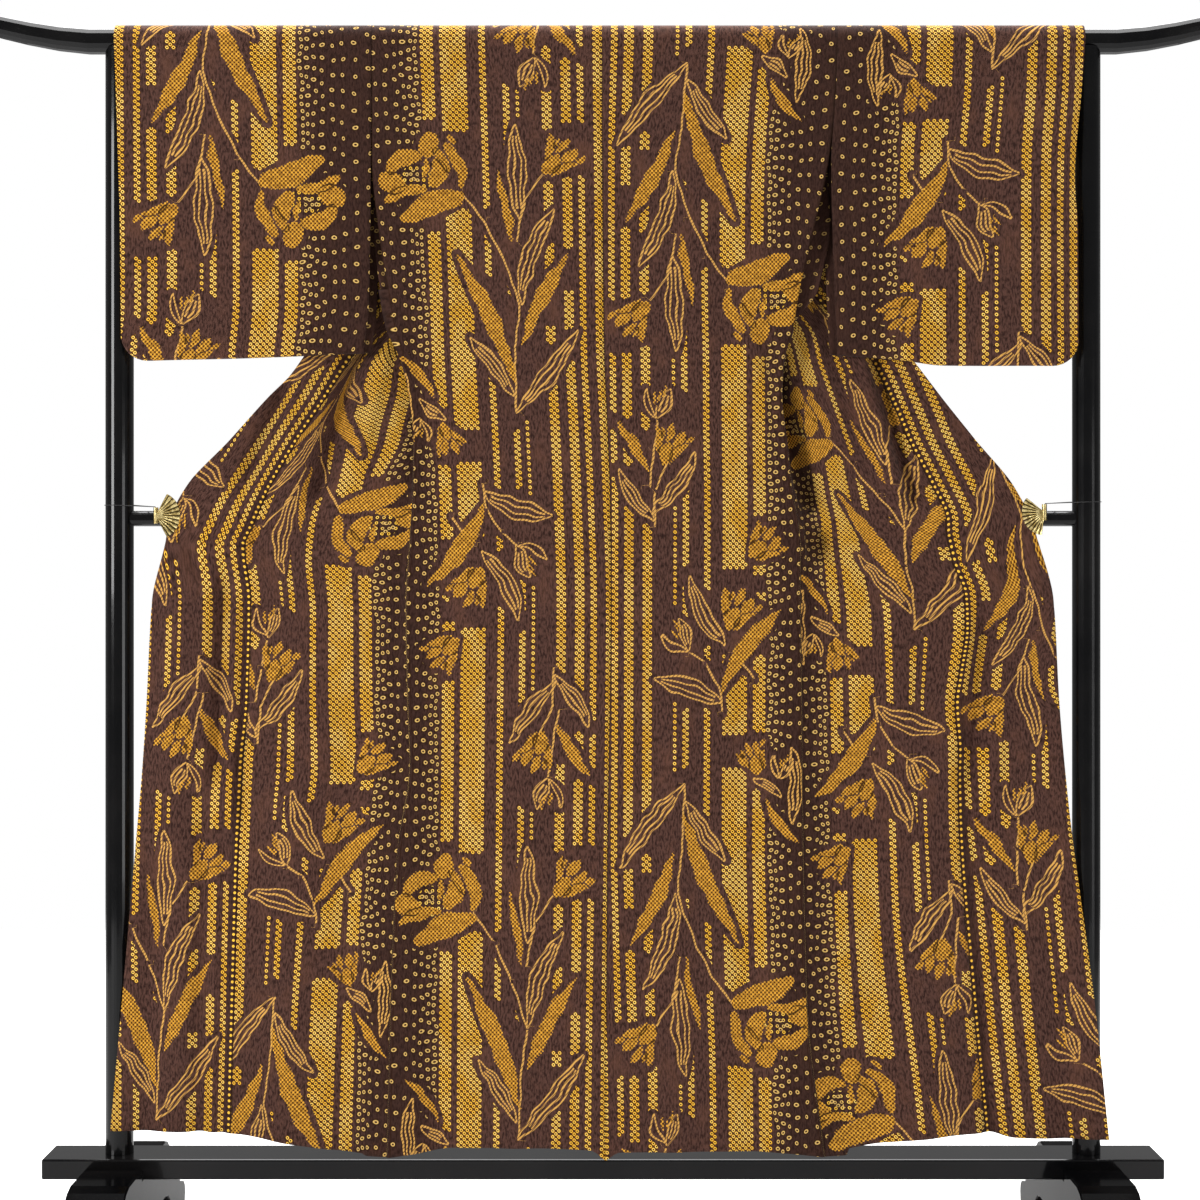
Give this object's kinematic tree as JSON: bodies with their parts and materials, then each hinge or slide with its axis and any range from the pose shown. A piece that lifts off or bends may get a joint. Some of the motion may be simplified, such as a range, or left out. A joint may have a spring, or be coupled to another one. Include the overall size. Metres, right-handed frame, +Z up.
{
  "type": "yukata on a kimono stand",
  "caption": "Unlined summer kimono hung over a black lacquered stand, seen from its back, with its fronts drawn out to both sides and held by brass fan clips.",
  "frame": {"origin": "on the floor, in the middle between the four pads of the stand's feet", "axes": "+Z up; +X to the viewer's right along the top bar, looking at the robe's back; the robe's back faces -Y"},
  "size_m": [1.8044, 0.54, 1.7139],
  "materials": {
    "cloth": "dark brown crinkled cotton with resist-dyed golden dots, stripes and flowers",
    "lacquer": "glossy black lacquer",
    "brass": "aged satin brass, pleated",
    "cord": "matte black cord"
  },
  "bodies": {
    "root": {"body_left": "cloth", "body_right": "cloth", "okumi_left": "cloth", "okumi_right": "cloth", "sleeve_left": "cloth", "sleeve_right": "cloth", "collar": "cloth", "stand_top_bar": "lacquer", "stand_post_left": "lacquer", "stand_post_right": "lacquer", "stand_mid_bar": "lacquer", "stand_base_bar": "lacquer", "stand_foot_left": "lacquer", "stand_foot_right": "lacquer", "clip_left": "brass", "clip_right": "brass", "tie_left": "cord", "tie_right": "cord"}
  },
  "joints": []
}
